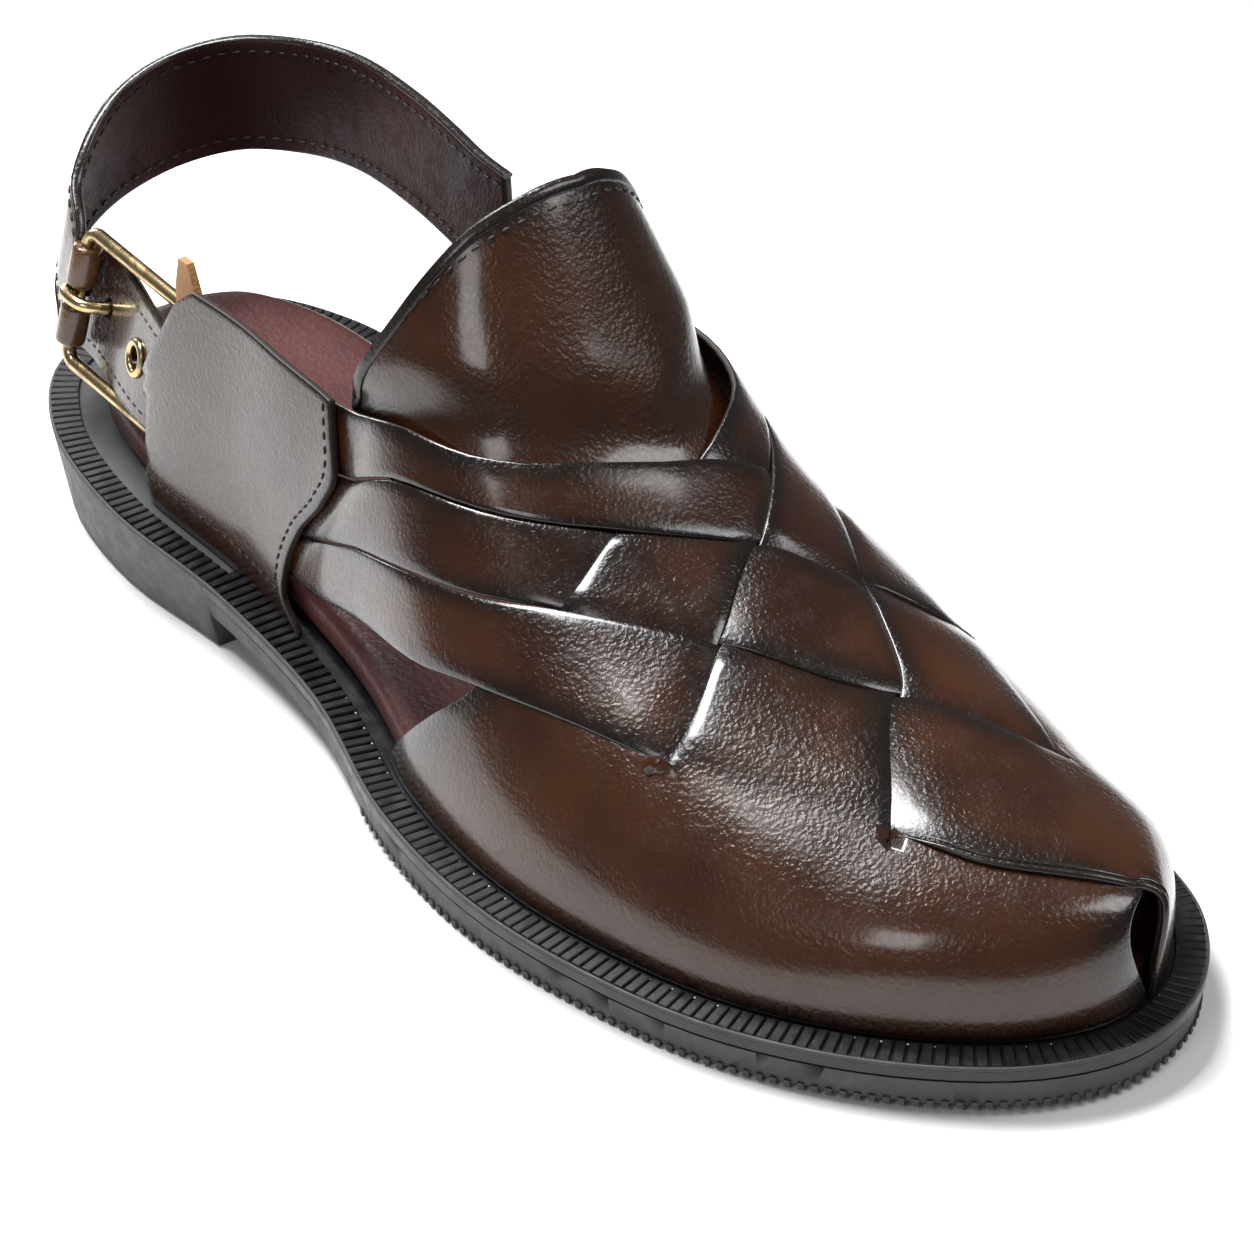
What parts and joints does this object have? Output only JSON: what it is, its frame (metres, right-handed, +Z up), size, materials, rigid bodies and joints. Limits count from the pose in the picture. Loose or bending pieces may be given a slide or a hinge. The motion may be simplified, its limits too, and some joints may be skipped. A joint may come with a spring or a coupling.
{
  "type": "woven leather sandal",
  "caption": "Right sandal with a woven leather vamp, raised instep shield, sling-back strap with a side buckle, cut-out sides and a low-heeled rubber sole.",
  "frame": {"origin": "middle of the bounding box's base, on the floor that the sole stands on", "axes": "+X towards the toe, -Y towards the outer (buckle) side of the foot, +Z up"},
  "size_m": [0.29, 0.1108, 0.1059],
  "materials": {
    "outsole_rubber": "matte charcoal rubber",
    "welt_rubber": "matte black rubber",
    "footbed_leather": "smooth burgundy leather",
    "upper_leather": "burnished glossy dark brown leather",
    "strap_leather": "glossy dark brown leather with a brown lining",
    "buckle_brass": "aged polished brass",
    "tip_leather": "raw tan leather"
  },
  "bodies": {
    "root": {"outsole": "outsole_rubber", "welt": "welt_rubber", "footbed": "footbed_leather", "upper": "upper_leather", "instep_shield": "upper_leather", "quarter_lateral": "upper_leather", "quarter_medial": "upper_leather", "heel_strap": "strap_leather", "billet_strap": "strap_leather", "buckle_frame": "buckle_brass", "buckle_prong": "buckle_brass", "billet_eyelet": "buckle_brass", "strap_tip": "tip_leather"}
  },
  "joints": []
}
